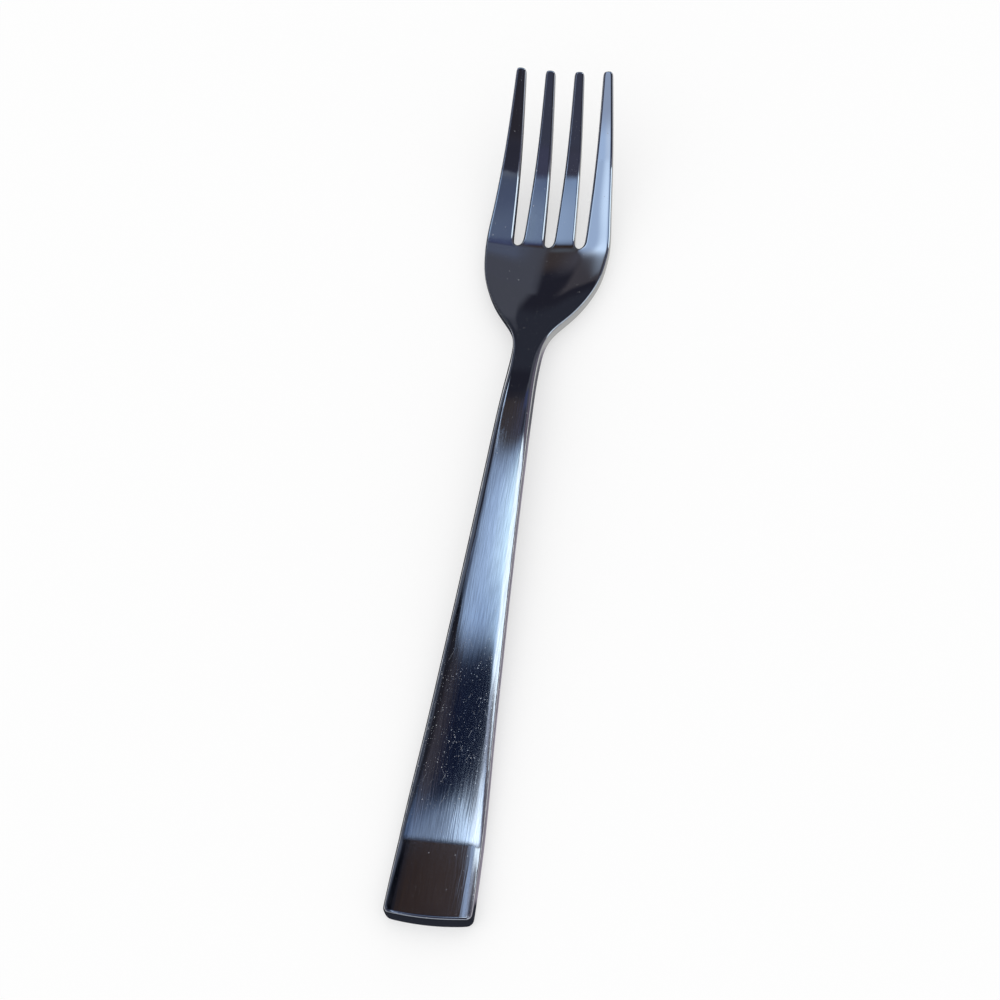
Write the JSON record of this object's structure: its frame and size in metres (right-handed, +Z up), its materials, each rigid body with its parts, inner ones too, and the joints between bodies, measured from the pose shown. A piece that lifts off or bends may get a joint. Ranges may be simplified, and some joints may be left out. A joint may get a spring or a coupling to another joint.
{
  "type": "dinner fork",
  "caption": "Stainless steel dinner fork with a tapering flat handle, an arched slim neck, a dished head and slender curved tines, for eating at table.",
  "frame": {"origin": "on the table under the middle of the fork's length, on its middle plane", "axes": "+Y along the fork from the handle's end to the tine tips, +X to the right of the handle seen from above with the tips away, +Z up from the table"},
  "size_m": [0.0274, 0.195, 0.0187],
  "materials": {
    "polished_steel": "polished stainless steel with fine lengthwise wear on the handle"
  },
  "bodies": {
    "root": {"dinner_fork": "polished_steel"}
  },
  "joints": []
}
